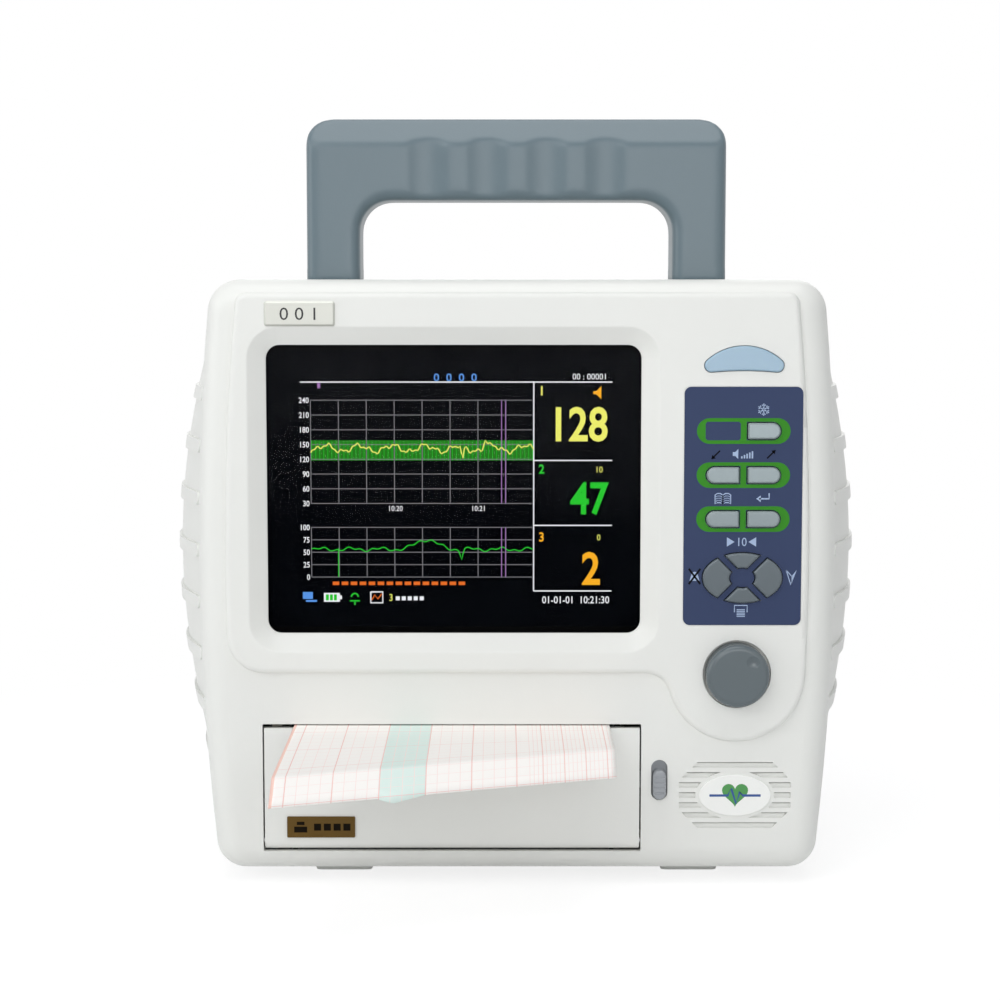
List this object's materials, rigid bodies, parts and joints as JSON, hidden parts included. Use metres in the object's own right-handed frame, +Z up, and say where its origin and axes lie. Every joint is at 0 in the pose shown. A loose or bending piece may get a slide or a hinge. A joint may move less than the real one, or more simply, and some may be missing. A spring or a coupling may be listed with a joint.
{
  "type": "ecg machine",
  "caption": "Portable bedside heart monitor with a colour display, keypad, push-turn knob, strip-chart printer behind a drop-down door, and a fixed carrying handle.",
  "frame": {"origin": "bottom centre of the overall box, on the table plane the four feet stand on", "axes": "+Z up, -Y out of the front, +X to the right of someone who looks at the front"},
  "size_m": [0.2672, 0.239, 0.284],
  "materials": {
    "housing": "fine moulded texture",
    "handle": "satin moulded grey",
    "steel": "plain",
    "rubber": "matt",
    "clear": "clear",
    "foam": "foam",
    "lcd": "display",
    "plate_alloy": "folded sheet",
    "board": "circuit board",
    "supply": "folded sheet box",
    "battery": "shrink sleeve",
    "speaker": "black",
    "badge": "satin silver grey",
    "label": "gold brown",
    "lens": "frosted",
    "overlay": "printed film",
    "key": "semi-gloss silver grey",
    "knob": "satin",
    "switch": "black",
    "brass": "plain",
    "gear": "acetal",
    "motor": "zinc",
    "head": "plain",
    "tray": "moulded",
    "paper": "chart paper",
    "latch": "satin",
    "inlet": "black"
  },
  "bodies": {
    "case": {"front_bezel": "housing", "rear_shell": "housing", "carry_handle": "handle", "handle_screws": "steel", "case_screws": "steel", "rubber_feet": "rubber", "display_window": "clear", "window_gasket": "foam", "lcd_module": "lcd", "chassis_plate": "plate_alloy", "chassis_screws": "steel", "main_board": "board", "power_supply": "supply", "battery_pack": "battery", "battery_cover": "housing", "battery_cover_screws": "steel", "speaker": "speaker", "nameplate": "badge", "badge_oval": "badge", "alarm_lens": "lens", "keypad_overlay": "overlay", "key_board": "board", "board_screws": "steel", "key_switches": "switch", "encoder_body": "brass", "door_hinge_pins": "steel", "gear_plate": "plate_alloy", "feed_motor": "motor", "print_head": "head", "printer_bay": "tray", "paper_pack": "paper", "paper_strip": "paper", "mains_inlet": "inlet", "inlet_pins": "brass", "power_switch_frame": "inlet", "probe_sockets": "inlet", "earth_stud": "brass"},
    "door": {"printer_door": "housing", "printer_label_plate": "label"},
    "platen": {"platen_shaft": "steel", "platen_roller": "rubber", "platen_gear": "gear"},
    "idler": {"idler_gear": "gear"},
    "pinion": {"motor_pinion": "brass", "motor_shaft": "steel"},
    "latch": {"latch_slider": "latch"},
    "knob_push": {"encoder_plunger": "steel"},
    "knob": {"encoder_shaft": "steel", "control_knob": "knob"},
    "rocker": {"power_rocker": "inlet"},
    "key_freeze": {"key_freeze": "key"},
    "key_volume_down": {"key_volume_down": "key"},
    "key_volume_up": {"key_volume_up": "key"},
    "key_menu": {"key_menu": "key"},
    "key_enter": {"key_enter": "key"},
    "key_right": {"key_right": "key"},
    "key_up": {"key_up": "key"},
    "key_left": {"key_left": "key"},
    "key_down": {"key_down": "key"}
  },
  "joints": [
    {"name": "door_hinge", "type": "hinge", "parent": "case", "child": "door", "pos_m": [-0.02385, -0.029, 0.0165], "axis": [1, 0, 0], "range_deg": [0, 90]},
    {"name": "platen_spin", "type": "hinge", "parent": "door", "child": "platen", "pos_m": [-0.02385, -0.02, 0.05131], "axis": [1, 0, 0], "continuous": true},
    {"name": "idler_spin", "type": "hinge", "parent": "case", "child": "idler", "pos_m": [-0.08905, -0.002, 0.05131], "axis": [1, 0, 0], "continuous": true},
    {"name": "pinion_spin", "type": "hinge", "parent": "case", "child": "pinion", "pos_m": [-0.08905, 0.00662, 0.03637], "axis": [1, 0, 0], "continuous": true},
    {"name": "latch_slide", "type": "slide", "parent": "case", "child": "latch", "axis": [0, 0, 1], "range_m": [0, 0.003], "stiffness_N_per_m": 300},
    {"name": "knob_press", "type": "slide", "parent": "case", "child": "knob_push", "axis": [0, 1, 0], "range_m": [0, 0.0008], "stiffness_N_per_m": 800},
    {"name": "knob_turn", "type": "hinge", "parent": "knob_push", "child": "knob", "pos_m": [0.08009, -0.0345, 0.0794], "axis": [0, 1, 0], "continuous": true},
    {"name": "power_rock", "type": "hinge", "parent": "case", "child": "rocker", "pos_m": [0.036, 0.104, 0.033], "axis": [1, 0, 0], "range_deg": [0, 16]},
    {"name": "key_freeze_press", "type": "slide", "parent": "case", "child": "key_freeze", "axis": [0, 1, 0], "range_m": [0, 0.001], "stiffness_N_per_m": 500},
    {"name": "key_volume_down_press", "type": "slide", "parent": "case", "child": "key_volume_down", "axis": [0, 1, 0], "range_m": [0, 0.001], "stiffness_N_per_m": 500},
    {"name": "key_volume_up_press", "type": "slide", "parent": "case", "child": "key_volume_up", "axis": [0, 1, 0], "range_m": [0, 0.001], "stiffness_N_per_m": 500},
    {"name": "key_menu_press", "type": "slide", "parent": "case", "child": "key_menu", "axis": [0, 1, 0], "range_m": [0, 0.001], "stiffness_N_per_m": 500},
    {"name": "key_enter_press", "type": "slide", "parent": "case", "child": "key_enter", "axis": [0, 1, 0], "range_m": [0, 0.001], "stiffness_N_per_m": 500},
    {"name": "key_right_press", "type": "slide", "parent": "case", "child": "key_right", "axis": [0, 1, 0], "range_m": [0, 0.001], "stiffness_N_per_m": 500},
    {"name": "key_up_press", "type": "slide", "parent": "case", "child": "key_up", "axis": [0, 1, 0], "range_m": [0, 0.001], "stiffness_N_per_m": 500},
    {"name": "key_left_press", "type": "slide", "parent": "case", "child": "key_left", "axis": [0, 1, 0], "range_m": [0, 0.001], "stiffness_N_per_m": 500},
    {"name": "key_down_press", "type": "slide", "parent": "case", "child": "key_down", "axis": [0, 1, 0], "range_m": [0, 0.001], "stiffness_N_per_m": 500}
  ],
  "couplings": [
    {"joint": "idler_spin", "follows": "platen_spin", "ratio": -0.6},
    {"joint": "pinion_spin", "follows": "platen_spin", "ratio": 1.125}
  ]
}
